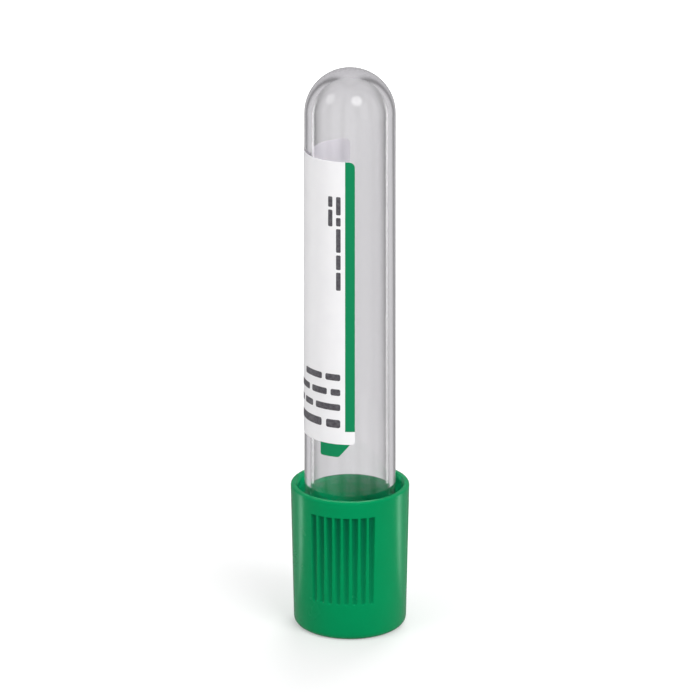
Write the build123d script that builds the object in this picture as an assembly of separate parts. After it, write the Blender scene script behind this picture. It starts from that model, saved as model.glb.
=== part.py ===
from build123d import *
from math import radians
import os

# An evacuated blood collection tube, 13 x 75 mm, with a two-piece safety closure. Millimetres.
#
# The pieces are drawn upright: the tube's axis is Z, its round end is at z = 0, and angles
# about the axis are counted from the front (-Y) towards the right (+X). A round-ended tube
# can't stand on its end and rolls on its side, so stand_on_head() then turns all the pieces
# over to stand on the closure's flat top, with the front still at -Y.

# ---- Driving dimensions: tube ----
TUBE_LENGTH = 75.0
TUBE_MOUTH_RADIUS = 6.5
TUBE_END_RADIUS = 6.3  # the body tapers a little so that it leaves its mould
TUBE_WALL = 1.05
TUBE_END_WALL = 1.3
TUBE_RIM_ROUND = 0.25

# ---- Driving dimensions: closure shield ----
SHIELD_HEIGHT = 21.0
SHIELD_TOP_RADIUS = 8.0
SHIELD_BASE_RADIUS = 8.4
SHIELD_TOP_ROUND = 0.9
SHIELD_BASE_ROUND = 0.3
SHIELD_TOP_WALL = 1.2
SHIELD_HOLE_RADIUS = 3.7
SHIELD_HOLE_CHAMFER = 0.3
SKIRT_BORE_TOP_RADIUS = 7.0
SKIRT_BASE_WALL = 1.1
SKIRT_MOUTH_CHAMFER = 0.4

# ---- Driving dimensions: ribbing of the shield ----
RIB_PANELS = 3
GROOVES_PER_PANEL = 8
GROOVE_PITCH_DEG = 8.5
GROOVE_RADIUS = 0.44
GROOVE_BOTTOM_BAND = 2.4
GROOVE_LENGTH = 13.3
RIB_PANEL_CENTRE_DEG = 8.0  # middle of the ribbed panel nearest the front

# ---- Driving dimensions: rubber stopper ----
FLANGE_RADIUS = 7.1
FLANGE_HEIGHT = 4.1
SEAT_RADIUS = 6.4
SEAT_HEIGHT = 1.2
PLUG_LENGTH = 7.0
PLUG_LEAD_IN = 0.6
PLUG_CUP_RADIUS = 3.0
PLUG_CUP_DEPTH = 5.5
WELL_RADIUS = 3.15
WELL_DEPTH = 2.7

# ---- Driving dimensions: label ----
LABEL_THICKNESS = 0.1
LABEL_BELOW_MOUTH = 22.5
LABEL_HEIGHT = 41.0
LABEL_START_DEG = -6.0
LABEL_SWEEP_DEG = 186.0
LABEL_CORNER_ROUND = 0.8
TAB_HEIGHT = 1.9
TAB_START_DEG = 0.0
TAB_END_DEG = 39.0
TAB_SLANT_DEG = 14.0  # how far the tab's left side leans over its height

# ---- Clearances ----
PLUG_CLEARANCE = 0.03  # rubber plug in the bore, drawn just free instead of squeezed
CHAMBER_CLEARANCE = 0.05  # rubber flange in the shield's chamber
BEAD_TUBE_CLEARANCE = 0.3  # retaining bead over the tube's mouth
BEAD_FLANGE_CLEARANCE = 0.1  # retaining bead under the rubber flange
BEAD_HEIGHT = 0.8

# ---- Derived heights and radii ----
LABEL_TOP = TUBE_LENGTH - LABEL_BELOW_MOUTH
FLANGE_BASE = TUBE_LENGTH + SEAT_HEIGHT
CHAMBER_TOP = FLANGE_BASE + FLANGE_HEIGHT
CHAMBER_RADIUS = FLANGE_RADIUS + CHAMBER_CLEARANCE
SHIELD_TOP = CHAMBER_TOP + SHIELD_TOP_WALL
SHIELD_BASE = SHIELD_TOP - SHIELD_HEIGHT
BEAD_TOP = FLANGE_BASE - BEAD_FLANGE_CLEARANCE
BEAD_BASE = BEAD_TOP - BEAD_HEIGHT
BEAD_RADIUS = TUBE_MOUTH_RADIUS + BEAD_TUBE_CLEARANCE
SKIRT_BORE_BASE_RADIUS = SHIELD_BASE_RADIUS - SKIRT_BASE_WALL

FRONT_DEG = -90  # direction of the front in the XY plane


def tube_radius(z):
    """Outer radius of the tapered tube body at height z."""
    share = (z - TUBE_END_RADIUS) / (TUBE_LENGTH - TUBE_END_RADIUS)
    return TUBE_END_RADIUS + (TUBE_MOUTH_RADIUS - TUBE_END_RADIUS) * share


def shield_radius(z):
    """Outer radius of the tapered shield at height z."""
    share = (z - SHIELD_BASE) / SHIELD_HEIGHT
    return SHIELD_BASE_RADIUS + (SHIELD_TOP_RADIUS - SHIELD_BASE_RADIUS) * share


def at_angle(angle):
    """Turns a shape drawn over +X round the axis to the given angle from the front."""
    return Rot(0, 0, FRONT_DEG + angle)


def turned(*section):
    """Solid of revolution about Z from the closed (radius, height) outline of its half section."""
    return revolve(Plane.XZ * make_face(Curve() + list(section)), Axis.Z)


def make_tube():
    """Clear tube: tapered body, hemispherical end, rounded rim."""
    bore_end_radius = TUBE_END_RADIUS - TUBE_WALL
    bore_end_centre = TUBE_END_WALL + bore_end_radius
    outer_end = CenterArc((0, TUBE_END_RADIUS), TUBE_END_RADIUS, -90, 90)
    bore_end = CenterArc((0, bore_end_centre), bore_end_radius, 0, -90)
    wall = Polyline(
        outer_end @ 1,
        (TUBE_MOUTH_RADIUS, TUBE_LENGTH),
        (TUBE_MOUTH_RADIUS - TUBE_WALL, TUBE_LENGTH),
        bore_end @ 0,
    )
    base = Line(bore_end @ 1, outer_end @ 0)
    tube = turned(outer_end, wall, bore_end, base)
    rim = tube.edges().group_by(Axis.Z)[-1]
    return fillet(rim, TUBE_RIM_ROUND)


def make_label():
    """Paper label wrapped round part of the tube, with a slant-sided tab above its top edge."""
    base = LABEL_TOP - LABEL_HEIGHT
    sheet = wrapped_paper(base, LABEL_TOP, LABEL_START_DEG, LABEL_SWEEP_DEG)
    corners = sheet.edges().filter_by(lambda edge: abs(edge.length - LABEL_THICKNESS) < 0.01)
    sheet = fillet(corners, LABEL_CORNER_ROUND)

    tab = wrapped_paper(LABEL_TOP, LABEL_TOP + TAB_HEIGHT, TAB_START_DEG, TAB_END_DEG - TAB_START_DEG)
    lean_width = radians(TAB_SLANT_DEG) * tube_radius(LABEL_TOP)
    corner_cut = Polyline((0, 0), (lean_width, TAB_HEIGHT), (0, TAB_HEIGHT), close=True)
    cutter = extrude(Plane.YZ * make_face(corner_cut), 2 * TUBE_MOUTH_RADIUS)
    tab -= at_angle(TAB_START_DEG) * Pos(0, 0, LABEL_TOP) * cutter
    return sheet + tab


def wrapped_paper(base, top, start, sweep):
    """A band of paper on the tube's outer face between two heights, over an arc of its girth."""
    outline = Polyline(
        (tube_radius(base), base),
        (tube_radius(base) + LABEL_THICKNESS, base),
        (tube_radius(top) + LABEL_THICKNESS, top),
        (tube_radius(top), top),
        close=True,
    )
    band = revolve(Plane.XZ * make_face(outline), Axis.Z, sweep)
    return at_angle(start) * band


def make_stopper():
    """Rubber stopper: flange held in the shield, seat on the tube's rim, hollow-ended plug."""
    plug_base = TUBE_LENGTH - PLUG_LENGTH
    plug_top_radius = tube_radius(TUBE_LENGTH) - TUBE_WALL - PLUG_CLEARANCE
    plug_base_radius = tube_radius(plug_base) - TUBE_WALL - PLUG_CLEARANCE
    body = turned(
        Polyline(
            (0, plug_base),
            (plug_base_radius - PLUG_LEAD_IN, plug_base),
            (plug_base_radius, plug_base + PLUG_LEAD_IN),
            (plug_top_radius, TUBE_LENGTH),
            (SEAT_RADIUS, TUBE_LENGTH),
            (SEAT_RADIUS, FLANGE_BASE),
            (FLANGE_RADIUS, FLANGE_BASE),
            (FLANGE_RADIUS, CHAMBER_TOP),
            (0, CHAMBER_TOP),
            close=True,
        )
    )
    cup_wall = PLUG_CUP_DEPTH - PLUG_CUP_RADIUS
    cup = Pos(0, 0, plug_base + cup_wall / 2) * Cylinder(PLUG_CUP_RADIUS, cup_wall)
    cup += Pos(0, 0, plug_base + cup_wall) * Sphere(PLUG_CUP_RADIUS)
    return body - cup - needle_well()


def needle_well():
    """Round-bottomed hollow in the stopper's top that guides the needle to the middle."""
    well_ball = (WELL_RADIUS**2 + WELL_DEPTH**2) / (2 * WELL_DEPTH)
    return Pos(0, 0, CHAMBER_TOP - WELL_DEPTH + well_ball) * Sphere(well_ball)


def make_closure_shield():
    """Plastic shield: ribbed skirt over the tube's mouth, chamber for the stopper, holed top."""
    outside = Polyline(
        (0, SHIELD_BASE), (SHIELD_BASE_RADIUS, SHIELD_BASE), (SHIELD_TOP_RADIUS, SHIELD_TOP), (0, SHIELD_TOP),
        close=True,
    )
    shell = turned(outside)
    shell = fillet(shell.edges().group_by(Axis.Z)[-1], SHIELD_TOP_ROUND)
    shell = fillet(shell.edges().group_by(Axis.Z)[0], SHIELD_BASE_ROUND)
    hollow = turned(
        Polyline(
            (0, SHIELD_BASE),
            (SKIRT_BORE_BASE_RADIUS + SKIRT_MOUTH_CHAMFER, SHIELD_BASE),
            (SKIRT_BORE_BASE_RADIUS, SHIELD_BASE + SKIRT_MOUTH_CHAMFER),
            (SKIRT_BORE_TOP_RADIUS, BEAD_BASE),
            (BEAD_RADIUS, BEAD_BASE + BEAD_HEIGHT / 2),
            (BEAD_RADIUS, BEAD_TOP),
            (CHAMBER_RADIUS, BEAD_TOP),
            (CHAMBER_RADIUS, CHAMBER_TOP),
            (0, CHAMBER_TOP),
            close=True,
        )
    )
    hole = turned(
        Polyline(
            (0, CHAMBER_TOP),
            (SHIELD_HOLE_RADIUS, CHAMBER_TOP),
            (SHIELD_HOLE_RADIUS, SHIELD_TOP - SHIELD_HOLE_CHAMFER),
            (SHIELD_HOLE_RADIUS + SHIELD_HOLE_CHAMFER, SHIELD_TOP),
            (0, SHIELD_TOP),
            close=True,
        )
    )
    return shell - hollow - hole - grip_grooves()


def grip_grooves():
    """Round-topped grooves, in equal panels with smooth ones between, that make the ribbed grip.

    They run straight up while the wall leans in, so that the shield leaves its mould, and that
    makes them shallower towards the top."""
    base = SHIELD_BASE + GROOVE_BOTTOM_BAND
    straight = GROOVE_LENGTH - GROOVE_RADIUS
    groove = Pos(0, 0, straight / 2) * Cylinder(GROOVE_RADIUS, straight)
    groove += Pos(0, 0, straight) * Sphere(GROOVE_RADIUS)
    groove = Pos(shield_radius(base), 0, base) * groove

    first = -GROOVE_PITCH_DEG * (GROOVES_PER_PANEL - 1) / 2
    return [
        at_angle(RIB_PANEL_CENTRE_DEG + panel * 360 / RIB_PANELS + first + row * GROOVE_PITCH_DEG) * groove
        for panel in range(RIB_PANELS)
        for row in range(GROOVES_PER_PANEL)
    ]


def stand_on_head(piece):
    """Turns an upright piece over to stand on the closure's top, on the floor at z = 0."""
    return Pos(0, 0, SHIELD_TOP) * Rot(0, 180, 0) * piece


upright = {
    "tube": make_tube(),
    "label": make_label(),
    "stopper": make_stopper(),
    "closure_shield": make_closure_shield(),
}

os.makedirs("parts", exist_ok=True)
for name, piece in upright.items():
    standing = stand_on_head(piece)
    standing.label = name
    export_step(standing, f"parts/{name}.step")
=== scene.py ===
import logging
from dataclasses import dataclass, replace
from enum import Enum
from math import atan, cos, degrees, pi, radians, sin, sqrt

import bmesh
import bpy
from mathutils import Matrix, Vector


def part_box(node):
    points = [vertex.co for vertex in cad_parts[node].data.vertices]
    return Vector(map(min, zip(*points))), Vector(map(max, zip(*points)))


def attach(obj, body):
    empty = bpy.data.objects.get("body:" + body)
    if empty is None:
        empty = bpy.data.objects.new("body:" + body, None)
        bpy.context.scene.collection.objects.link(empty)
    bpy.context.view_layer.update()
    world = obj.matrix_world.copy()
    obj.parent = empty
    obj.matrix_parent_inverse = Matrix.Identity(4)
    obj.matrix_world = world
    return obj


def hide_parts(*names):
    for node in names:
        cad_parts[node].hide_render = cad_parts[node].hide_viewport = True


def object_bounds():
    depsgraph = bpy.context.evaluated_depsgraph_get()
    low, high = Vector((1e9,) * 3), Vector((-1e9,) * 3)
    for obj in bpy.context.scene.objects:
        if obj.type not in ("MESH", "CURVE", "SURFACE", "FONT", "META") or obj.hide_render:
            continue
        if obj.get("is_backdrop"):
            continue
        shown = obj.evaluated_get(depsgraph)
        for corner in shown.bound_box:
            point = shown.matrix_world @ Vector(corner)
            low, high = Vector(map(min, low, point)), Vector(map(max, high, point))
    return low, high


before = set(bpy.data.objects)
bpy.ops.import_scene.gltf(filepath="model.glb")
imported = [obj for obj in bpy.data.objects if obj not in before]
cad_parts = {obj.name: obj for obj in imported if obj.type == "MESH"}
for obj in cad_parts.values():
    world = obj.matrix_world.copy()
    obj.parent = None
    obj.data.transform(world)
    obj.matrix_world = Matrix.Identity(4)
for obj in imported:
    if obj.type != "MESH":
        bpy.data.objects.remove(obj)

MM = 0.001  # one drawing unit in metres
CIRCULAR = 0.5  # a bevel's profile number for a circular round
# The groove depth below drives painted shade: the green plastic is painted darker in its grooves.
GROOVE_SHADE_DEPTH = "groove_shade_depth"  # vertex attribute: 0 on the open surface, 1 at a groove's full depth
WHITE = (1.0, 1.0, 1.0, 1.0)

log = logging.getLogger("blood_tube")


class Body(Enum):
    """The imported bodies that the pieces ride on."""

    TUBE = "tube_body"
    CLOSURE = "closure"


# ---------------------------------------------------------------------------
# Drawing tools
# ---------------------------------------------------------------------------


def round_corner(
    mesh: bmesh.types.BMesh, corner: bmesh.types.BMVert, rounding: float, cuts: int
) -> None:
    """Rounds one corner of a drawing.

    Args:
        mesh: The drawing.
        corner: The sharp corner, which the round replaces.
        rounding: How far back from the corner the round starts.
        cuts: Number of edges of the round.
    """
    bmesh.ops.bevel(
        mesh, geom=[corner], offset=rounding, offset_type="OFFSET", affect="VERTICES", segments=cuts,
        profile=CIRCULAR, material=-1,
    )


class HalfSection:
    """Half section of a turned piece: a chain of edges with the radius along X and the height
    along Z, in millimetres of the upright tube."""

    CORNER_CUTS = 4
    MERGE_DISTANCE = 1e-4

    def __init__(self, radius: float, height: float) -> None:
        """Starts the chain.

        Args:
            radius: Distance of the first point from the axis.
            height: Height of the first point above the tube's round end.
        """
        self.mesh = bmesh.new()
        self.tip = self.mesh.verts.new((radius, 0.0, height))
        self.corners: list[tuple[bmesh.types.BMVert, float]] = []

    def line(self, radius: float, height: float, cuts: int = 1) -> None:
        """Draws a straight run to a new point.

        Args:
            radius: Radius of the new point.
            height: Height of the new point.
            cuts: Number of edges that the run is drawn with.
        """
        start = self.tip.co.copy()
        end = Vector((radius, 0.0, height))
        for cut in range(1, cuts + 1):
            made = bmesh.ops.extrude_vert_indiv(self.mesh, verts=[self.tip])
            self.tip = made["verts"][0]
            self.tip.co = start.lerp(end, cut / cuts)

    def corner(self, radius: float, height: float, rounding: float) -> None:
        """Draws a straight run to a corner that is rounded when the section is turned.

        Args:
            radius: Radius of the sharp corner.
            height: Height of the sharp corner.
            rounding: How far back from the corner the round starts.
        """
        self.line(radius, height)
        self.corners.append((self.tip, rounding))

    def arc(self, radius: float, height: float, sweep: float, cuts: int) -> None:
        """Draws an arc from the last point round a centre.

        Args:
            radius: Radius of the arc's centre.
            height: Height of the arc's centre.
            sweep: Angle in degrees, positive anticlockwise.
            cuts: Number of edges.
        """
        made = bmesh.ops.spin(
            self.mesh, geom=[self.tip], cent=(radius, 0.0, height), axis=(0.0, 1.0, 0.0),
            angle=-radians(sweep), steps=cuts,
        )
        self.tip = next(item for item in made["geom_last"] if isinstance(item, bmesh.types.BMVert))

    def turn(self, steps: int) -> bmesh.types.BMesh:
        """Rounds the marked corners and turns the section once round the axis.

        Args:
            steps: Number of facets round the axis.

        Returns:
            The closed skin.
        """
        for corner, rounding in self.corners:
            round_corner(self.mesh, corner, rounding, self.CORNER_CUTS)
        bmesh.ops.spin(
            self.mesh, geom=self.mesh.verts[:] + self.mesh.edges[:], cent=(0.0, 0.0, 0.0),
            axis=(0.0, 0.0, 1.0), angle=2 * pi, steps=steps, use_merge=True,
        )
        bmesh.ops.remove_doubles(self.mesh, verts=self.mesh.verts[:], dist=self.MERGE_DISTANCE)
        bmesh.ops.recalc_face_normals(self.mesh, faces=self.mesh.faces[:])
        return self.mesh


@dataclass(frozen=True)
class PieceFacts:
    """What the frame has to know of a finished piece."""

    name: str
    body: Body
    node: str
    slot: str
    sharp_angle: float = 40.0


def finish_piece(
    mesh: bmesh.types.BMesh, facts: PieceFacts, materials: list[bpy.types.Material]
) -> bpy.types.Object:
    """Stands the upright drawing on its closure in the row frame, hangs it on its body and hides the
    imported part that it replaces.

    Args:
        mesh: The piece as drawn upright in millimetres. It is used up.
        facts: Its name and its place in the frame.
        materials: Its materials, in the order of the faces' material numbers.

    Returns:
        The new object.
    """
    round_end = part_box("tube")[1].z
    stand = Matrix.Translation((0.0, 0.0, round_end)) @ Matrix.Rotation(pi, 4, "Y") @ Matrix.Scale(MM, 4)
    bmesh.ops.transform(mesh, matrix=stand, verts=mesh.verts[:])
    for face in mesh.faces:
        face.smooth = True
    data = bpy.data.meshes.new(facts.name)
    mesh.to_mesh(data)
    mesh.free()
    data.set_sharp_from_angle(angle=radians(facts.sharp_angle))
    piece = bpy.data.objects.new(facts.name, data)
    bpy.context.scene.collection.objects.link(piece)
    for material in materials:
        data.materials.append(material)
    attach(piece, facts.body.value)
    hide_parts(facts.node)
    return piece


# ---------------------------------------------------------------------------
# Node tools and shared effects
# ---------------------------------------------------------------------------


class NodeSheet:
    """Adds nodes to one node tree and wires them."""

    MIX_COLOUR_INPUTS = (0, 6, 7)  # a Mix node's share and its two colours
    MIX_COLOUR_OUTPUT = 2

    def __init__(self, tree: bpy.types.NodeTree) -> None:
        """Takes the tree to draw on."""
        self.tree = tree

    def add(self, kind: str, wires: dict | None = None, **settings: object) -> bpy.types.Node:
        """Adds one node.

        Args:
            kind: The node's type name.
            wires: Values or output sockets for its inputs, by input name or number.
            settings: Properties to set on the node first.

        Returns:
            The new node.
        """
        node = self.tree.nodes.new(kind)
        for name, value in settings.items():
            setattr(node, name, value)
        for name, value in (wires or {}).items():
            socket = node.inputs[name]
            if isinstance(value, bpy.types.NodeSocket):
                self.tree.links.new(value, socket)
            else:
                socket.default_value = value
        return node

    def math(self, operation: str, *values: object) -> bpy.types.NodeSocket:
        """Adds a Math node with the given numbers or sockets and returns its output."""
        return self.add("ShaderNodeMath", dict(enumerate(values)), operation=operation).outputs[0]

    def vector(self, operation: str, *values: object) -> bpy.types.NodeSocket:
        """Adds a Vector Math node with the given vectors or sockets and returns its vector."""
        node = self.add("ShaderNodeVectorMath", dict(enumerate(values)), operation=operation)
        return node.outputs["Vector"]

    def measure(self, operation: str, *values: object) -> bpy.types.NodeSocket:
        """Adds a Vector Math node that measures the given vectors and returns its number."""
        node = self.add("ShaderNodeVectorMath", dict(enumerate(values)), operation=operation)
        return node.outputs["Value"]

    def mix(self, share: object, first: object, second: object) -> bpy.types.NodeSocket:
        """Adds a colour mix.

        Args:
            share: How much of the second colour shows, as a number or a socket.
            first: The first colour.
            second: The second colour.

        Returns:
            The mixed colour.
        """
        colours = dict(zip(self.MIX_COLOUR_INPUTS, (share, first, second)))
        return self.add("ShaderNodeMix", colours, data_type="RGBA").outputs[self.MIX_COLOUR_OUTPUT]

    def spread(self, value: bpy.types.NodeSocket, low: float, high: float) -> bpy.types.NodeSocket:
        """Maps a mask of 0 to 1 to the range from low to high."""
        return self.add("ShaderNodeMapRange", {"Value": value, "To Min": low, "To Max": high}).outputs[0]

    def rise(
        self, value: bpy.types.NodeSocket, start: float, end: float, most: float = 1.0
    ) -> bpy.types.NodeSocket:
        """Adds a smooth rise.

        Args:
            value: What it follows.
            start: Value at which it is still 0. It may lie above the end.
            end: Value at which it is full.
            most: How much it is when full.

        Returns:
            The risen value.
        """
        ends = {"Value": value, "From Min": start, "From Max": end, "To Max": most}
        return self.add("ShaderNodeMapRange", ends, interpolation_type="SMOOTHSTEP").outputs[0]


def srgb(red: int, green: int, blue: int) -> tuple[float, float, float, float]:
    """Gives a screen colour as a linear colour, by the sRGB curve.

    Args:
        red: Red from 0 to 255.
        green: Green from 0 to 255.
        blue: Blue from 0 to 255.

    Returns:
        The linear colour with full alpha.
    """
    parts = [value / 255 for value in (red, green, blue)]
    linear = [part / 12.92 if part <= 0.04045 else ((part + 0.055) / 1.055) ** 2.4 for part in parts]
    return (linear[0], linear[1], linear[2], 1.0)


def new_group(
    name: str, inputs: dict[str, str], outputs: dict[str, str]
) -> tuple[bpy.types.NodeTree, NodeSheet, bpy.types.Node, bpy.types.Node]:
    """Starts a shader node group.

    Args:
        name: The group's name.
        inputs: Socket types by input name.
        outputs: Socket types by output name.

    Returns:
        The group, its sheet, its input node and its output node.
    """
    group = bpy.data.node_groups.new(name, "ShaderNodeTree")
    for label, kind in inputs.items():
        group.interface.new_socket(label, in_out="INPUT", socket_type=kind)
    for label, kind in outputs.items():
        group.interface.new_socket(label, in_out="OUTPUT", socket_type=kind)
    sheet = NodeSheet(group)
    return group, sheet, sheet.add("NodeGroupInput"), sheet.add("NodeGroupOutput")


class SharedEffects:
    """Node groups that more than one material uses."""

    LEAST_ROUNDING = 0.001  # of a printed block's corners, in millimetres

    def __init__(self) -> None:
        """Builds every group once."""
        self.grain = self._grain()
        self.block = self._block()

    def _grain(self) -> bpy.types.NodeTree:
        """Draws fine grain: a mask of soft patches for roughness and colour, and a height for bump.

        Returns:
            The node group.
        """
        group, sheet, given, out = new_group(
            "fine_grain",
            {"Vector": "NodeSocketVector", "Patch Scale": "NodeSocketFloat",
             "Grain Scale": "NodeSocketFloat"},
            {"Patches": "NodeSocketFloat", "Height": "NodeSocketFloat"},
        )
        patches = sheet.add(
            "ShaderNodeTexNoise",
            {"Vector": given.outputs["Vector"], "Scale": given.outputs["Patch Scale"], "Detail": 3.0},
        )
        grain = sheet.add(
            "ShaderNodeTexNoise",
            {"Vector": given.outputs["Vector"], "Scale": given.outputs["Grain Scale"], "Detail": 5.0,
             "Roughness": 0.6},
        )
        group.links.new(patches.outputs[0], out.inputs["Patches"])
        group.links.new(grain.outputs[0], out.inputs["Height"])
        return group

    def _block(self) -> bpy.types.NodeTree:
        """Draws the mask of a block with rounded corners on a flat sheet, in millimetres.

        Returns:
            The node group.
        """
        group, sheet, given, out = new_group(
            "print_block",
            {"Vector": "NodeSocketVector", "Middle": "NodeSocketVector", "Half": "NodeSocketVector",
             "Rounding": "NodeSocketFloat"},
            {"Mask": "NodeSocketFloat"},
        )
        offset = sheet.vector("SUBTRACT", given.outputs["Vector"], given.outputs["Middle"])
        beyond = sheet.vector("SUBTRACT", sheet.vector("ABSOLUTE", offset), given.outputs["Half"])
        away = sheet.measure("LENGTH", sheet.vector("MAXIMUM", beyond, (0.0, 0.0, 0.0)))
        rounding = sheet.math("MAXIMUM", given.outputs["Rounding"], self.LEAST_ROUNDING)
        group.links.new(sheet.math("LESS_THAN", away, rounding), out.inputs["Mask"])
        return group


def new_material(name: str) -> tuple[bpy.types.Material, NodeSheet, bpy.types.Node, bpy.types.Node]:
    """Starts a material with a Principled shader.

    Args:
        name: The material's name.

    Returns:
        The material, its sheet, its Principled node and its output node.
    """
    material = bpy.data.materials.new(name)
    material.use_nodes = True
    tree = material.node_tree
    return material, NodeSheet(tree), tree.nodes["Principled BSDF"], tree.nodes["Material Output"]


# ---------------------------------------------------------------------------
# Finishes
# ---------------------------------------------------------------------------


@dataclass(frozen=True)
class SurfaceTexture:
    """Uneven gloss in soft patches and a fine raised grain. Lengths in millimetres."""

    roughness_low: float
    roughness_high: float
    patch_mm: float
    grain_mm: float
    relief_mm: float
    bump: float

    def lay(
        self, sheet: NodeSheet, shader: bpy.types.Node, effects: SharedEffects
    ) -> bpy.types.NodeSocket:
        """Wires the texture to a shader's roughness and normal.

        Args:
            sheet: The material's sheet.
            shader: The material's Principled node.
            effects: The shared node groups.

        Returns:
            The mask of the patches, for the colour to follow.
        """
        grain = sheet.add(
            "ShaderNodeGroup",
            {"Vector": sheet.add("ShaderNodeTexCoord").outputs["Object"],
             "Patch Scale": 1 / (self.patch_mm * MM), "Grain Scale": 1 / (self.grain_mm * MM)},
            node_tree=effects.grain,
        )
        patches = grain.outputs["Patches"]
        roughness = sheet.spread(patches, self.roughness_low, self.roughness_high)
        sheet.tree.links.new(roughness, shader.inputs["Roughness"])
        bump = sheet.add(
            "ShaderNodeBump",
            {"Strength": self.bump, "Distance": self.relief_mm * MM, "Height": grain.outputs["Height"]},
        )
        sheet.tree.links.new(bump.outputs[0], shader.inputs["Normal"])
        return patches


@dataclass(frozen=True)
class MouldedFinish:
    """A moulded solid colour with slight mottling, uneven gloss and a fine surface grain. A groove shade
    colour, where given, paints shade into the grooves, darker with their depth.
    """

    name: str
    colour: tuple[float, float, float, float]
    mottled: tuple[float, float, float, float]
    texture: SurfaceTexture
    shine: float
    shine_tint: tuple[float, float, float, float] = WHITE
    painted_groove_shade: tuple[float, float, float, float] | None = None

    def build(self, effects: SharedEffects) -> bpy.types.Material:
        """Makes the material.

        Args:
            effects: The shared node groups.

        Returns:
            The material.
        """
        material, sheet, shader, _ = new_material(self.name)
        patches = self.texture.lay(sheet, shader, effects)
        colour = sheet.mix(patches, self.colour, self.mottled)
        if self.painted_groove_shade:
            # painted shade: the colour darkens towards the painted groove shade colour with the groove's
            # depth
            depth = sheet.add("ShaderNodeAttribute", attribute_name=GROOVE_SHADE_DEPTH)
            colour = sheet.mix(depth.outputs["Fac"], colour, self.painted_groove_shade)
        sheet.tree.links.new(colour, shader.inputs["Base Color"])
        shader.inputs["Specular IOR Level"].default_value = self.shine
        shader.inputs["Specular Tint"].default_value = self.shine_tint
        return material


@dataclass(frozen=True)
class ClearFinish:
    """Clear moulded plastic with a faint flow ripple and a slight smokiness that builds up with its
    thickness. Light from the lamps passes through it."""

    name: str
    tint: tuple[float, float, float, float]
    smoke: tuple[float, float, float, float]
    smoke_per_mm: float
    roughness: float
    ior: float
    ripple_mm: float
    ripple_depth_mm: float
    lamp_tint: tuple[float, float, float, float]

    def build(self) -> bpy.types.Material:
        """Makes the material.

        Returns:
            The material.
        """
        material, sheet, shader, output = new_material(self.name)
        place = sheet.add("ShaderNodeTexCoord")
        ripple = sheet.add(
            "ShaderNodeTexNoise",
            {"Vector": place.outputs["Object"], "Scale": 1 / (self.ripple_mm * MM), "Detail": 2.0},
        )
        bump = sheet.add(
            "ShaderNodeBump",
            {"Strength": 1.0, "Distance": self.ripple_depth_mm * MM, "Height": ripple.outputs[0]},
        )
        sheet.tree.links.new(bump.outputs[0], shader.inputs["Normal"])
        shader.inputs["Base Color"].default_value = self.tint
        shader.inputs["Roughness"].default_value = self.roughness
        shader.inputs["IOR"].default_value = self.ior
        shader.inputs["Transmission Weight"].default_value = 1.0
        path = sheet.add("ShaderNodeLightPath")
        through = sheet.add("ShaderNodeBsdfTransparent", {"Color": self.lamp_tint})
        mixed = sheet.add(
            "ShaderNodeMixShader",
            {0: path.outputs["Is Shadow Ray"], 1: shader.outputs[0], 2: through.outputs[0]},
        )
        sheet.tree.links.new(mixed.outputs[0], output.inputs["Surface"])
        body = sheet.add(
            "ShaderNodeVolumeAbsorption", {"Color": self.smoke, "Density": self.smoke_per_mm / MM}
        )
        sheet.tree.links.new(body.outputs[0], output.inputs["Volume"])
        return material


@dataclass(frozen=True)
class PrintBlock:
    """A printed block on the label, in millimetres from its striped edge and its bottom."""

    left: float
    right: float
    bottom: float
    top: float
    rounding: float = 0.0


@dataclass(frozen=True)
class PaperFinish:
    """Smooth white label paper. The printed side carries the blocks that it is given."""

    name: str
    paper: tuple[float, float, float, float]
    shade: tuple[float, float, float, float]
    green: tuple[float, float, float, float]
    ink: tuple[float, float, float, float]
    texture: SurfaceTexture
    shine: float
    sheet_mm: float
    blot_mm: float = 0.45
    blot_least: float = 0.86
    green_blocks: tuple[PrintBlock, ...] = ()
    ink_blocks: tuple[PrintBlock, ...] = ()

    def build(self, effects: SharedEffects) -> bpy.types.Material:
        """Makes the material.

        Args:
            effects: The shared node groups.

        Returns:
            The material.
        """
        material, sheet, shader, _ = new_material(self.name)
        patches = self.texture.lay(sheet, shader, effects)
        place = sheet.add("ShaderNodeTexCoord").outputs["UV"]
        flat = sheet.add(
            "ShaderNodeVectorMath", {"Vector": place, "Scale": self.sheet_mm}, operation="SCALE"
        ).outputs["Vector"]
        blots = sheet.add("ShaderNodeTexNoise", {"Vector": flat, "Scale": 1 / self.blot_mm, "Detail": 1.0})
        cover = sheet.spread(blots.outputs[0], self.blot_least, 1.0)
        colour = sheet.mix(patches, self.paper, self.shade)
        for block in self.green_blocks:
            colour = sheet.mix(self._mask(sheet, effects, flat, block), colour, self.green)
        for block in self.ink_blocks:
            share = sheet.math("MULTIPLY", self._mask(sheet, effects, flat, block), cover)
            colour = sheet.mix(share, colour, self.ink)
        sheet.tree.links.new(colour, shader.inputs["Base Color"])
        shader.inputs["Specular IOR Level"].default_value = self.shine
        return material

    @staticmethod
    def _mask(
        sheet: NodeSheet, effects: SharedEffects, vector: bpy.types.NodeSocket, block: PrintBlock
    ) -> bpy.types.NodeSocket:
        """Draws the mask of one block.

        Args:
            sheet: The material's sheet.
            effects: The shared node groups.
            vector: Place on the flat label in millimetres.
            block: The block.

        Returns:
            The mask, 1 inside the block.
        """
        middle = ((block.left + block.right) / 2, (block.bottom + block.top) / 2, 0.0)
        half_width = (block.right - block.left) / 2 - block.rounding
        half_height = (block.top - block.bottom) / 2 - block.rounding
        values = {"Vector": vector, "Middle": middle, "Half": (half_width, half_height, 1.0),
                  "Rounding": block.rounding}
        return sheet.add("ShaderNodeGroup", values, node_tree=effects.block).outputs[0]


# ---------------------------------------------------------------------------
# Pieces
# ---------------------------------------------------------------------------


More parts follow.
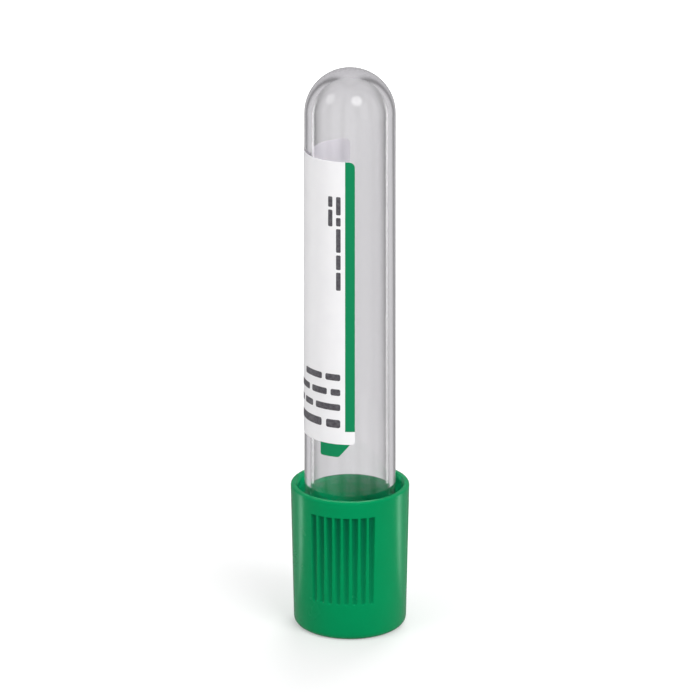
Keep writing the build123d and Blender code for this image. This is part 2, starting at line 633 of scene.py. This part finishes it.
@dataclass
class ClearTube:
    """The moulded tube: tapered body, hemispherical end and rounded rim. Sizes in millimetres."""

    length: float = 75.0
    mouth_radius: float = 6.5
    end_radius: float = 6.3
    wall: float = 1.05
    end_wall: float = 1.3
    rim_round: float = 0.25
    steps: int = 192
    end_cuts: int = 40

    def radius(self, height: float) -> float:
        """Outer radius of the tapered body at a height."""
        share = (height - self.end_radius) / (self.length - self.end_radius)
        return self.end_radius + (self.mouth_radius - self.end_radius) * share

    def mesh(self) -> bmesh.types.BMesh:
        """Draws the tube's section and turns it.

        Returns:
            The tube's skin, drawn upright.
        """
        bore_end = self.end_radius - self.wall
        section = HalfSection(0.0, 0.0)
        section.arc(0.0, self.end_radius, 90, self.end_cuts)
        section.corner(self.mouth_radius, self.length, self.rim_round)
        section.corner(self.mouth_radius - self.wall, self.length, self.rim_round)
        section.line(bore_end, self.end_wall + bore_end)
        section.arc(0.0, self.end_wall + bore_end, -90, self.end_cuts)
        return section.turn(self.steps)

    def build(self, finish: ClearFinish) -> bpy.types.Object:
        """Makes the piece.

        Args:
            finish: The clear plastic.

        Returns:
            The tube's object.
        """
        facts = PieceFacts("clear_tube", Body.TUBE, "tube", "clear_plastic")
        return finish_piece(self.mesh(), facts, [finish.build()])


@dataclass
class WrapLabel:
    """The paper label: cut flat, then wrapped round the tube. Sizes in millimetres and degrees."""

    tube: ClearTube
    below_mouth: float = 22.5
    height: float = 41.0
    start_angle: float = -6.0
    sweep: float = 186.0
    thickness: float = 0.08
    glue_gap: float = 0.02
    corner_round: float = 0.8
    tab_corner_round: float = 0.4
    tab_height: float = 1.9
    tab_start_angle: float = 0.0
    tab_end_angle: float = 39.0
    tab_slant_angle: float = 14.0
    tab_round: float = 0.25
    corner_cuts: int = 5
    bend_step: float = 3.0
    cut_tolerance: float = 1e-5
    sheet_mm: float = 45.0

    @property
    def base(self) -> float:
        """Height of the label's bottom edge above the round end."""
        return self.tube.length - self.below_mouth - self.height

    @property
    def mm_per_degree(self) -> float:
        """Length on the flat sheet of one degree round the tube."""
        return radians(self.tube.radius(self.base + self.height / 2))

    def along(self, angle: float) -> float:
        """Place on the flat sheet of an angle from the front."""
        return (angle - self.start_angle) * self.mm_per_degree

    def _cut_out(self) -> bmesh.types.BMesh:
        """Cuts the flat sheet out and scores it where it bends.

        Returns:
            The sheet without thickness, with its lower striped corner at the origin.
        """
        mesh = bmesh.new()
        width = self.sweep * self.mm_per_degree
        tab_left = self.along(self.tab_start_angle)
        tab_top_left = tab_left + self.tab_slant_angle * self.mm_per_degree
        tab_right = self.along(self.tab_end_angle)
        tab_top = self.height + self.tab_height
        outline = (
            ((0.0, 0.0), self.corner_round),
            ((width, 0.0), self.corner_round),
            ((width, self.height), self.corner_round),
            ((tab_right, self.height), 0.0),
            ((tab_right, tab_top), self.tab_round),
            ((tab_top_left, tab_top), self.tab_round),
            ((tab_left, self.height), 0.0),
            ((0.0, self.height), self.tab_corner_round),
        )
        corners = [mesh.verts.new((*place, 0.0)) for place, _ in outline]
        mesh.faces.new(corners)
        for corner, (_, rounding) in zip(corners, outline):
            if rounding:
                round_corner(mesh, corner, rounding, self.corner_cuts)
        for number in range(1, round(self.sweep / self.bend_step)):
            bend = number * self.bend_step * self.mm_per_degree
            bmesh.ops.bisect_plane(
                mesh, geom=mesh.verts[:] + mesh.edges[:] + mesh.faces[:], plane_co=(bend, 0.0, 0.0),
                plane_no=(1.0, 0.0, 0.0), dist=self.cut_tolerance,
            )
        return mesh

    def mesh(self) -> bmesh.types.BMesh:
        """Cuts the flat sheet, gives it thickness and wraps it round the tube.

        Returns:
            The label's closed skin, drawn upright.
        """
        mesh = self._cut_out()
        flat = mesh.loops.layers.uv.new("sheet")
        made = bmesh.ops.extrude_face_region(mesh, geom=mesh.faces[:], use_keep_orig=True)
        lifted = [item for item in made["geom"] if isinstance(item, bmesh.types.BMVert)]
        bmesh.ops.translate(mesh, verts=lifted, vec=(0.0, 0.0, self.thickness))
        bmesh.ops.recalc_face_normals(mesh, faces=mesh.faces[:])
        for face in mesh.faces:
            is_printed = face.normal.z > 0.5
            face.material_index = 0 if is_printed else 1
            for loop in face.loops:
                loop[flat].uv = loop.vert.co.xy / self.sheet_mm
        for vert in mesh.verts:
            vert.co = self._wrapped(vert.co)
        return mesh

    def _wrapped(self, flat: Vector) -> Vector:
        """Bends a point of the flat sheet round the tube.

        Args:
            flat: The point, with its height off the sheet as Z.

        Returns:
            Its place on the tube.
        """
        angle = radians(self.start_angle + flat.x / self.mm_per_degree)
        height = self.base + flat.y
        radius = self.tube.radius(height) + self.glue_gap + flat.z
        return Vector((radius * sin(angle), -radius * cos(angle), height))

    def build(self, printed: PaperFinish, plain: PaperFinish, effects: SharedEffects) -> bpy.types.Object:
        """Makes the piece.

        Args:
            printed: Finish of the outer side.
            plain: Finish of the glued side and the cut edges.
            effects: The shared node groups.

        Returns:
            The label's object.
        """
        facts = PieceFacts("paper_label", Body.TUBE, "label", "label_paper")
        return finish_piece(self.mesh(), facts, [printed.build(effects), plain.build(effects)])


@dataclass
class RubberStopper:
    """The rubber stopper: flange, seat, hollow-ended plug and needle well. Sizes in millimetres."""

    tube: ClearTube
    flange_radius: float = 7.1
    flange_height: float = 4.1
    seat_radius: float = 6.4
    seat_height: float = 1.2
    plug_length: float = 7.0
    plug_lead_in: float = 0.6
    plug_clearance: float = 0.03
    cup_radius: float = 3.0
    cup_depth: float = 5.5
    well_radius: float = 3.15
    well_depth: float = 2.7
    edge_round: float = 0.25
    well_edge_round: float = 0.125
    steps: int = 96
    cup_cuts: int = 12
    well_cuts: int = 14

    @property
    def top(self) -> float:
        """Height of the stopper's top above the tube's round end."""
        return self.tube.length + self.seat_height + self.flange_height

    def plug_radius(self, height: float) -> float:
        """Radius of the plug at a height in the bore."""
        return self.tube.radius(height) - self.tube.wall - self.plug_clearance

    def mesh(self) -> bmesh.types.BMesh:
        """Draws the stopper's section and turns it.

        Returns:
            The stopper's skin, drawn upright.
        """
        rim = self.tube.length
        foot = rim - self.plug_length
        cup_wall = self.cup_depth - self.cup_radius
        well_ball = (self.well_radius**2 + self.well_depth**2) / (2 * self.well_depth)
        well_half = pi / 2 - atan((well_ball - self.well_depth) / self.well_radius)
        section = HalfSection(0.0, foot + self.cup_depth)
        section.arc(0.0, foot + cup_wall, -90, self.cup_cuts)
        section.corner(self.cup_radius, foot, self.edge_round)
        section.corner(self.plug_radius(foot) - self.plug_lead_in, foot, self.edge_round)
        section.corner(self.plug_radius(foot), foot + self.plug_lead_in, self.edge_round)
        section.line(self.plug_radius(rim), rim)
        section.corner(self.seat_radius, rim, self.edge_round)
        section.line(self.seat_radius, rim + self.seat_height)
        section.corner(self.flange_radius, rim + self.seat_height, self.edge_round)
        section.corner(self.flange_radius, self.top, self.edge_round)
        section.corner(self.well_radius, self.top, self.well_edge_round)
        section.arc(0.0, self.top - self.well_depth + well_ball, -degrees(well_half), self.well_cuts)
        return section.turn(self.steps)

    def build(self, finish: MouldedFinish, effects: SharedEffects) -> bpy.types.Object:
        """Makes the piece.

        Args:
            finish: The rubber.
            effects: The shared node groups.

        Returns:
            The stopper's object.
        """
        facts = PieceFacts("rubber_stopper", Body.CLOSURE, "stopper", "stopper_rubber")
        return finish_piece(self.mesh(), facts, [finish.build(effects)])


@dataclass
class RibbedShield:
    """The closure's plastic shield with three ribbed grip panels. Sizes in millimetres."""

    tube: ClearTube
    stopper: RubberStopper
    height: float = 21.0
    top_radius: float = 8.0
    base_radius: float = 8.4
    top_round: float = 0.9
    base_round: float = 0.3
    bore_round: float = 0.15
    top_wall: float = 1.2
    hole_radius: float = 3.7
    hole_chamfer: float = 0.3
    skirt_bore_top: float = 7.0
    skirt_bore_base: float = 7.3
    skirt_chamfer: float = 0.4
    chamber_clearance: float = 0.05
    bead_clearance: float = 0.3
    bead_gap: float = 0.1
    bead_height: float = 0.8
    panels: int = 3
    grooves: int = 8
    pitch_angle: float = 8.5
    panel_angle: float = 8.0
    groove_radius: float = 0.44
    groove_length: float = 13.3
    bottom_band: float = 2.4
    groove_end: float = 0.03
    wall_tolerance: float = 0.02
    steps: int = 720
    band_cuts: int = 2
    groove_cuts: int = 8
    groove_round_cuts: int = 12
    top_cuts: int = 3

    @property
    def top(self) -> float:
        """Height of the shield's top above the tube's round end."""
        return self.stopper.top + self.top_wall

    @property
    def base(self) -> float:
        """Height of the shield's open edge."""
        return self.top - self.height

    def radius(self, height: float) -> float:
        """Outer radius of the tapered shield at a height."""
        share = (height - self.base) / self.height
        return self.base_radius + (self.top_radius - self.base_radius) * share

    def mesh(self) -> bmesh.types.BMesh:
        """Turns the shield's section and presses the grooves into its outer wall.

        Returns:
            The shield's skin, drawn upright.
        """
        foot = self.base + self.bottom_band
        head = foot + self.groove_length
        chamber_top = self.stopper.top
        bead_top = self.tube.length + self.stopper.seat_height - self.bead_gap
        bead_radius = self.tube.mouth_radius + self.bead_clearance
        chamber_radius = self.stopper.flange_radius + self.chamber_clearance
        section = HalfSection(self.skirt_bore_base + self.skirt_chamfer, self.base)
        section.corner(self.base_radius, self.base, self.base_round)
        for height, cuts in (
            (foot - self.groove_end, self.band_cuts),
            (foot + self.groove_end, 1),
            (head - self.groove_radius, self.groove_cuts),
            (head, self.groove_round_cuts),
        ):
            section.line(self.radius(height), height, cuts)
        section.corner(self.top_radius, self.top, self.top_round)
        section.line(self.hole_radius + self.hole_chamfer, self.top, self.top_cuts)
        section.line(self.hole_radius, self.top - self.hole_chamfer)
        section.line(self.hole_radius, chamber_top)
        section.line(chamber_radius, chamber_top)
        section.line(chamber_radius, bead_top)
        section.line(bead_radius, bead_top)
        section.line(bead_radius, bead_top - self.bead_height / 2)
        section.line(self.skirt_bore_top, bead_top - self.bead_height)
        section.corner(self.skirt_bore_base, self.base + self.skirt_chamfer, self.bore_round)
        section.line(self.skirt_bore_base + self.skirt_chamfer, self.base)
        mesh = section.turn(self.steps)
        self._press_grooves(mesh, foot, head)
        return mesh

    def _press_grooves(self, mesh: bmesh.types.BMesh, foot: float, head: float) -> None:
        """Moves the outer wall's points inwards where a groove runs, and stores how deep each point lies as
        a share of the full depth, for the painted groove shade.

        Args:
            mesh: The turned shield.
            foot: Height of the grooves' square lower ends.
            head: Height of the grooves' round upper ends.
        """
        groove_shade_depth = mesh.verts.layers.float.new(GROOVE_SHADE_DEPTH)
        for vert in mesh.verts:
            radius = vert.co.xy.length
            on_wall = abs(radius - self.radius(vert.co.z)) < self.wall_tolerance
            if on_wall and foot < vert.co.z < head:
                angle = -degrees(Vector((0.0, -1.0)).angle_signed(vert.co.xy))
                past_end = max(0.0, vert.co.z - (head - self.groove_radius))
                floor = self._groove_floor(angle, past_end)
                vert.co.xy *= min(1.0, floor / radius)
                # painted groove shade: share of the full groove depth at this point
                vert[groove_shade_depth] = max(0.0, radius - floor) / self.groove_radius

    def _groove_floor(self, angle: float, past_end: float) -> float:
        """Gives the radius of the nearest groove's floor. The grooves run straight up, so they get
        shallower as the wall leans in.

        Args:
            angle: Angle from the front in degrees.
            past_end: Height above the start of the groove's round end.

        Returns:
            The floor's radius, which is outside the wall between the grooves.
        """
        panel = 360 / self.panels
        in_panel = (angle - self.panel_angle + panel / 2) % panel - panel / 2
        middle = (self.grooves - 1) / 2
        nearest = min(max(round(in_panel / self.pitch_angle + middle), 0), self.grooves - 1)
        axis = self.radius(self.base + self.bottom_band)
        aside = radians(in_panel - (nearest - middle) * self.pitch_angle) * axis
        bite = self.groove_radius**2 - aside**2 - past_end**2
        return axis - sqrt(bite) if bite > 0 else self.base_radius

    def build(self, finish: MouldedFinish, effects: SharedEffects) -> bpy.types.Object:
        """Makes the piece.

        Args:
            finish: The green plastic.
            effects: The shared node groups.

        Returns:
            The shield's object.
        """
        facts = PieceFacts("ribbed_shield", Body.CLOSURE, "closure_shield", "green_plastic")
        return finish_piece(self.mesh(), facts, [finish.build(effects)])


# ---------------------------------------------------------------------------
# Studio
# ---------------------------------------------------------------------------


def direction(azimuth: float, elevation: float) -> Vector:
    """Gives the direction from the object at two angles in degrees. Azimuth 0 is the front."""
    around, up = radians(azimuth), radians(elevation)
    return Vector((sin(around) * cos(up), -cos(around) * cos(up), sin(up)))


@dataclass(frozen=True)
class Glow:
    """A soft round light that only gloss sees. Angles in degrees from the object."""

    azimuth: float
    elevation: float
    inner: float
    outer: float
    strength: float

    def draw(self, sheet: NodeSheet, ahead: bpy.types.NodeSocket) -> bpy.types.NodeSocket:
        """Adds the nodes of the glow.

        Args:
            sheet: The sheet to draw on.
            ahead: Direction from the object to what the ray meets.

        Returns:
            The glow's strength in that direction.
        """
        facing = sheet.measure("DOT_PRODUCT", ahead, direction(self.azimuth, self.elevation))
        return sheet.rise(facing, cos(radians(self.outer)), cos(radians(self.inner)), self.strength)


@dataclass(frozen=True)
class Card:
    """What clear plastic and gloss see around the object.

    Through clear plastic it is white with soft grey bands that draw the plastic's edges. In gloss it
    is a dim grey with two bright streaks and soft glows. The streaks end softly near the object's
    foot and above the horizon. Angles in degrees from the object, lengths in metres."""

    bands: int = 8
    band_sharpness: float = 2.5
    through_dark: float = 0.38
    through_bright: float = 1.0
    mirrored_dark: float = 0.3
    streak_azimuth: float = 105.0
    streak_narrowness: float = 400.0
    streak_strength: float = 5.0
    streak_full_elevation: float = 0.0
    streak_end_elevation: float = 32.0
    streak_start: float = 0.012
    streak_full_reach: float = 0.05
    glows: tuple[Glow, ...] = (
        Glow(azimuth=22.5, elevation=44, inner=8, outer=16, strength=4.5),
        Glow(azimuth=-67.5, elevation=38, inner=7, outer=15, strength=2.2),
    )

    def draw(
        self, sheet: NodeSheet, way: bpy.types.NodeSocket
    ) -> tuple[bpy.types.NodeSocket, bpy.types.NodeSocket]:
        """Adds the nodes of the card.

        Args:
            sheet: The sheet to draw on.
            way: Vector from the object towards what the ray meets.

        Returns:
            The strength that the ray sees, and a mask that is 1 for rays that see the card.
        """
        path = sheet.add("ShaderNodeLightPath")
        ahead = sheet.vector("NORMALIZE", way)
        parts = sheet.add("ShaderNodeSeparateXYZ", {"Vector": ahead})
        back = sheet.math("MULTIPLY", parts.outputs["Y"], -1.0)
        azimuth = sheet.math("ARCTAN2", parts.outputs["X"], back)
        through = self._bands(sheet, azimuth)
        streaks = self._streaks(sheet, azimuth, parts.outputs["Z"], sheet.measure("LENGTH", way))
        gloss = sheet.math("MULTIPLY_ADD", streaks, self.streak_strength, self.mirrored_dark)
        for glow in self.glows:
            gloss = sheet.math("ADD", gloss, glow.draw(sheet, ahead))
        clear = path.outputs["Is Transmission Ray"]
        mask = sheet.math("MAXIMUM", clear, path.outputs["Is Glossy Ray"])
        mirrored = sheet.math("MULTIPLY", sheet.math("SUBTRACT", mask, clear), gloss)
        return sheet.math("MULTIPLY_ADD", clear, through, mirrored), mask

    def _bands(self, sheet: NodeSheet, azimuth: bpy.types.NodeSocket) -> bpy.types.NodeSocket:
        """Adds the nodes of the bands.

        Args:
            sheet: The sheet to draw on.
            azimuth: Azimuth of what the ray meets, in radians.

        Returns:
            The brightness through clear plastic.
        """
        wave = sheet.math("COSINE", sheet.math("MULTIPLY", azimuth, float(self.bands)))
        dip = sheet.math("POWER", sheet.math("MULTIPLY_ADD", wave, -0.5, 0.5), self.band_sharpness)
        depth = self.through_dark - self.through_bright
        return sheet.math("MULTIPLY_ADD", dip, depth, self.through_bright)

    def _streaks(
        self, sheet: NodeSheet, azimuth: bpy.types.NodeSocket, rise: bpy.types.NodeSocket,
        reach: bpy.types.NodeSocket,
    ) -> bpy.types.NodeSocket:
        """Adds the nodes of the streaks.

        Args:
            sheet: The sheet to draw on.
            azimuth: Azimuth of what the ray meets, in radians.
            rise: Sine of its elevation.
            reach: Its distance from the object.

        Returns:
            A mask that is 1 in the middle of a streak.
        """
        aside = sheet.math("ABSOLUTE", azimuth)
        peaks = sheet.math("COSINE", sheet.math("SUBTRACT", aside, radians(self.streak_azimuth)))
        streaks = sheet.math("POWER", sheet.math("MAXIMUM", peaks, 0.0), self.streak_narrowness)
        top, full = sin(radians(self.streak_end_elevation)), sin(radians(self.streak_full_elevation))
        streaks = sheet.math("MULTIPLY", streaks, sheet.rise(rise, top, full))
        return sheet.math("MULTIPLY", streaks, sheet.rise(reach, self.streak_start, self.streak_full_reach))


@dataclass(frozen=True)
class Lamp:
    """A soft rectangular lamp. Angles in degrees from the object, lengths in metres."""

    name: str
    azimuth: float
    elevation: float
    distance: float
    width: float
    height: float
    power: float

    def hang(self, aim: Vector) -> None:
        """Hangs the lamp so that it faces a point. Gloss doesn't see it, and what lies behind clear
        plastic gets its light in full.

        Args:
            aim: The point.
        """
        data = bpy.data.lights.new(self.name, "AREA")
        data.shape = "RECTANGLE"
        data.size = self.width
        data.size_y = self.height
        data.energy = self.power
        data.cycles.use_multiple_importance_sampling = False
        lamp = bpy.data.objects.new(self.name, data)
        bpy.context.scene.collection.objects.link(lamp)
        way = direction(self.azimuth, self.elevation)
        lamp.location = aim + way * self.distance
        lamp.rotation_euler = (-way).to_track_quat("-Z", "Y").to_euler()
        lamp.visible_glossy = False


@dataclass
class Studio:
    """White floor, soft lamps, pale surroundings and the camera. Angles in degrees, lengths in
    metres. Floor and surroundings carry the card for rays through glass and in gloss."""

    floor_size: float = 4.0
    floor_gap: float = 0.00002
    floor_grey: float = 0.6
    floor_roughness: float = 0.9
    lift_near: float = 0.3
    lift_far: float = 0.8
    lift_reach: float = 0.3
    sky_strength: float = 0.6
    elevation: float = 19.0
    distance: float = 0.6
    frame_height: float = 0.098
    sensor_mm: float = 36.0
    card: Card = Card()
    lamps: tuple[Lamp, ...] = (
        Lamp("key_lamp", azimuth=40, elevation=34, distance=0.8, width=0.5, height=0.6, power=4.4),
        Lamp("fill_lamp", azimuth=-62, elevation=28, distance=0.9, width=0.5, height=0.7, power=2.3),
        Lamp("back_lamp", azimuth=165, elevation=30, distance=0.8, width=0.5, height=0.6, power=3.8),
    )

    def floor(self) -> None:
        """Lays the white floor that keeps the object's shadow."""
        mesh = bmesh.new()
        bmesh.ops.create_grid(mesh, x_segments=1, y_segments=1, size=self.floor_size / 2)
        bmesh.ops.translate(mesh, verts=mesh.verts[:], vec=(0.0, 0.0, -self.floor_gap))
        data = bpy.data.meshes.new("studio_floor")
        mesh.to_mesh(data)
        mesh.free()
        floor = bpy.data.objects.new("studio_floor", data)
        bpy.context.scene.collection.objects.link(floor)
        data.materials.append(self._floor_finish())
        floor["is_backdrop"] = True

    def _floor_finish(self) -> bpy.types.Material:
        """Makes the matt floor, lifted to white where it is seen away from the object.

        Returns:
            The floor's material.
        """
        material, sheet, shader, output = new_material("white_floor")
        shader.inputs["Base Color"].default_value = (self.floor_grey, self.floor_grey, self.floor_grey, 1.0)
        shader.inputs["Roughness"].default_value = self.floor_roughness
        shader.inputs["Specular IOR Level"].default_value = 0.0
        shader.inputs["Emission Color"].default_value = WHITE
        place = sheet.add("ShaderNodeTexCoord").outputs["Object"]
        path = sheet.add("ShaderNodeLightPath")
        reach = sheet.math("DIVIDE", sheet.measure("LENGTH", place), self.lift_reach)
        lift = sheet.spread(reach, self.lift_near, self.lift_far)
        seen = sheet.math("MULTIPLY", path.outputs["Is Camera Ray"], lift)
        sheet.tree.links.new(seen, shader.inputs["Emission Strength"])
        strength, mask = self.card.draw(sheet, place)
        card = sheet.add("ShaderNodeEmission", {"Strength": strength})
        mixed = sheet.add("ShaderNodeMixShader", {0: mask, 1: shader.outputs[0], 2: card.outputs[0]})
        sheet.tree.links.new(mixed.outputs[0], output.inputs["Surface"])
        return material

    def surroundings(self) -> None:
        """Sets the pale even light that comes from all round."""
        world = bpy.data.worlds.new("pale_surroundings")
        bpy.context.scene.world = world
        world.use_nodes = True
        sheet = NodeSheet(world.node_tree)
        place = sheet.add("ShaderNodeTexCoord")
        path = sheet.add("ShaderNodeLightPath")
        background = world.node_tree.nodes["Background"]
        background.inputs["Color"].default_value = WHITE
        plain = sheet.spread(path.outputs["Is Camera Ray"], self.sky_strength, 1.0)
        card, mask = self.card.draw(sheet, place.outputs["Generated"])
        others = sheet.math("SUBTRACT", 1.0, mask)
        strength = sheet.math("MULTIPLY_ADD", others, plain, card)
        world.node_tree.links.new(strength, background.inputs["Strength"])

    def camera(self, low: Vector, high: Vector) -> None:
        """Sets the camera in front of the object, looking down on it by the elevation.

        Args:
            low: The object's lowest corner.
            high: Its highest corner.
        """
        data = bpy.data.cameras.new("camera")
        camera = bpy.data.objects.new("camera", data)
        bpy.context.scene.collection.objects.link(camera)
        tilt = radians(self.elevation)
        back = Vector((0.0, -cos(tilt), sin(tilt)))
        camera.location = (low + high) / 2 + back * self.distance
        camera.rotation_euler = back.to_track_quat("Z", "Y").to_euler()
        data.sensor_width = self.sensor_mm
        data.lens = self.sensor_mm * self.distance / self.frame_height
        bpy.context.scene.camera = camera

    def build(self, low: Vector, high: Vector) -> None:
        """Makes the whole studio round the object.

        Args:
            low: The object's lowest corner.
            high: Its highest corner.
        """
        self.floor()
        self.surroundings()
        for lamp in self.lamps:
            lamp.hang((low + high) / 2)
        self.camera(low, high)


# ---------------------------------------------------------------------------
# Colours and print of this tube
# ---------------------------------------------------------------------------

GREEN_PLASTIC = MouldedFinish(
    "green_moulded_plastic", colour=srgb(2, 140, 84), mottled=srgb(0, 133, 79),
    texture=SurfaceTexture(
        roughness_low=0.22, roughness_high=0.3, patch_mm=4.0, grain_mm=0.25, relief_mm=0.25, bump=0.01
    ),
    # painted shade: a darker green that the grooves are painted with, deeper in the groove
    shine=0.4, shine_tint=(0.1, 0.8, 0.5, 1.0), painted_groove_shade=srgb(0, 96, 62),
)
STOPPER_RUBBER = MouldedFinish(
    "stopper_rubber", colour=srgb(126, 104, 96), mottled=srgb(112, 92, 85),
    texture=SurfaceTexture(
        roughness_low=0.5, roughness_high=0.62, patch_mm=1.5, grain_mm=0.15, relief_mm=0.15, bump=0.1
    ),
    shine=0.4,
)
CLEAR_PLASTIC = ClearFinish(
    "clear_tube_plastic", tint=(0.98, 0.98, 0.98, 1.0), smoke=(0.55, 0.53, 0.57, 1.0), smoke_per_mm=0.32,
    roughness=0.0, ior=1.57, ripple_mm=9.0, ripple_depth_mm=0.02, lamp_tint=(0.95, 0.95, 0.95, 1.0),
)
COATED_PAPER = SurfaceTexture(
    roughness_low=0.36, roughness_high=0.46, patch_mm=2.5, grain_mm=0.12, relief_mm=0.01, bump=0.25
)
RAW_PAPER = replace(COATED_PAPER, roughness_low=0.5, roughness_high=0.6)


@dataclass(frozen=True)
class WordLine:
    """A line of unreadable small print: one plain bar for each word. Lengths in millimetres."""

    place: float
    size: float
    words: tuple[float, ...]
    word_gap: float = 0.6
    rounding: float = 0.25

    def bars(self, start: float, line: float, up: bool) -> list[PrintBlock]:
        """Sets the line. Its gaps and rounding are shares of its size.

        Args:
            start: Where the first bar starts along the line.
            line: Where the bars' lower edge lies across the line.
            up: Whether the line runs up the label, turned a quarter.

        Returns:
            The bars.
        """
        bars = []
        for word in self.words:
            along, across = (start, start + word), (line, line + self.size)
            sides = across + along if up else along + across
            bars.append(PrintBlock(*sides, rounding=self.rounding * self.size))
            start += word + self.word_gap * self.size
        return bars


@dataclass(frozen=True)
class LabelPrint:
    """The label's print, laid out from the label's own edges. Millimetres and degrees."""

    label: WrapLabel
    stripe_end_angle: float = 6.0
    stripe_below_top: float = 1.9
    tab_green_end_angle: float = 60.0
    text_start_angle: float = 12.0
    text_lines: tuple[WordLine, ...] = (  # placed by their depth below the top edge
        WordLine(3.6, 1.2, (2.1, 5.6, 3.0)),
        WordLine(5.9, 0.95, (3.9, 2.1, 4.6)),
        WordLine(8.1, 0.95, (1.4, 2.7, 4.1)),
        WordLine(10.3, 0.95, (2.2, 3.6)),
    )
    upright_start: float = 5.0
    upright_lines: tuple[WordLine, ...] = (  # placed by their angle round the tube
        WordLine(11.5, 0.65, (2.6, 1.2, 3.4, 2.1, 2.6)),
        WordLine(22.0, 0.65, (1.5, 2.4)),
    )
    rule_heights: tuple[float, ...] = (8.0, 14.0, 20.0)
    rule_start_angle: float = 100.0
    rule_end_angle: float = 170.0
    rule_width: float = 0.15

    def green_blocks(self) -> tuple[PrintBlock, ...]:
        """Lays out the stripe along the label's edge and the tab above it.

        Returns:
            The blocks.
        """
        label = self.label
        stripe_top = label.height - self.stripe_below_top
        tab_top = label.height + label.tab_height
        return (
            PrintBlock(0.0, label.along(self.stripe_end_angle), 0.0, stripe_top),
            PrintBlock(0.0, label.along(self.tab_green_end_angle), label.height, tab_top),
        )

    def ink_blocks(self) -> tuple[PrintBlock, ...]:
        """Lays out the small print and the rules to write on.

        Returns:
            The blocks.
        """
        label = self.label
        ink = []
        for line in self.text_lines:
            ink += line.bars(label.along(self.text_start_angle), label.height - line.place, up=False)
        for line in self.upright_lines:
            ink += line.bars(self.upright_start, label.along(line.place), up=True)
        rule_start, rule_end = label.along(self.rule_start_angle), label.along(self.rule_end_angle)
        for height in self.rule_heights:
            ink.append(PrintBlock(rule_start, rule_end, height, height + self.rule_width))
        return tuple(ink)

    def finish(self) -> PaperFinish:
        """Gives the finish of the label's printed side."""
        return PaperFinish(
            "label_print", paper=srgb(238, 237, 238), shade=srgb(231, 230, 232), green=srgb(0, 131, 83),
            ink=srgb(54, 50, 58), texture=COATED_PAPER, shine=0.25, sheet_mm=self.label.sheet_mm,
            green_blocks=self.green_blocks(), ink_blocks=self.ink_blocks(),
        )


def main() -> None:
    """Builds the pieces in order, then the studio."""
    logging.basicConfig(level=logging.INFO, format="%(name)s: %(message)s")
    cad_low, cad_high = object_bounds()
    effects = SharedEffects()

    tube = ClearTube()
    label = WrapLabel(tube)
    stopper = RubberStopper(tube)
    shield = RibbedShield(tube, stopper)
    printed = LabelPrint(label).finish()
    plain = replace(
        printed, name="label_back", texture=RAW_PAPER, shine=0.2, green_blocks=(), ink_blocks=()
    )
    made = [
        tube.build(CLEAR_PLASTIC),
        label.build(printed, plain, effects),
        stopper.build(STOPPER_RUBBER, effects),
        shield.build(GREEN_PLASTIC, effects),
    ]

    Studio().build(cad_low, cad_high)
    bpy.context.scene.view_settings.view_transform = "Standard"


if __name__ == "__main__":
    main()
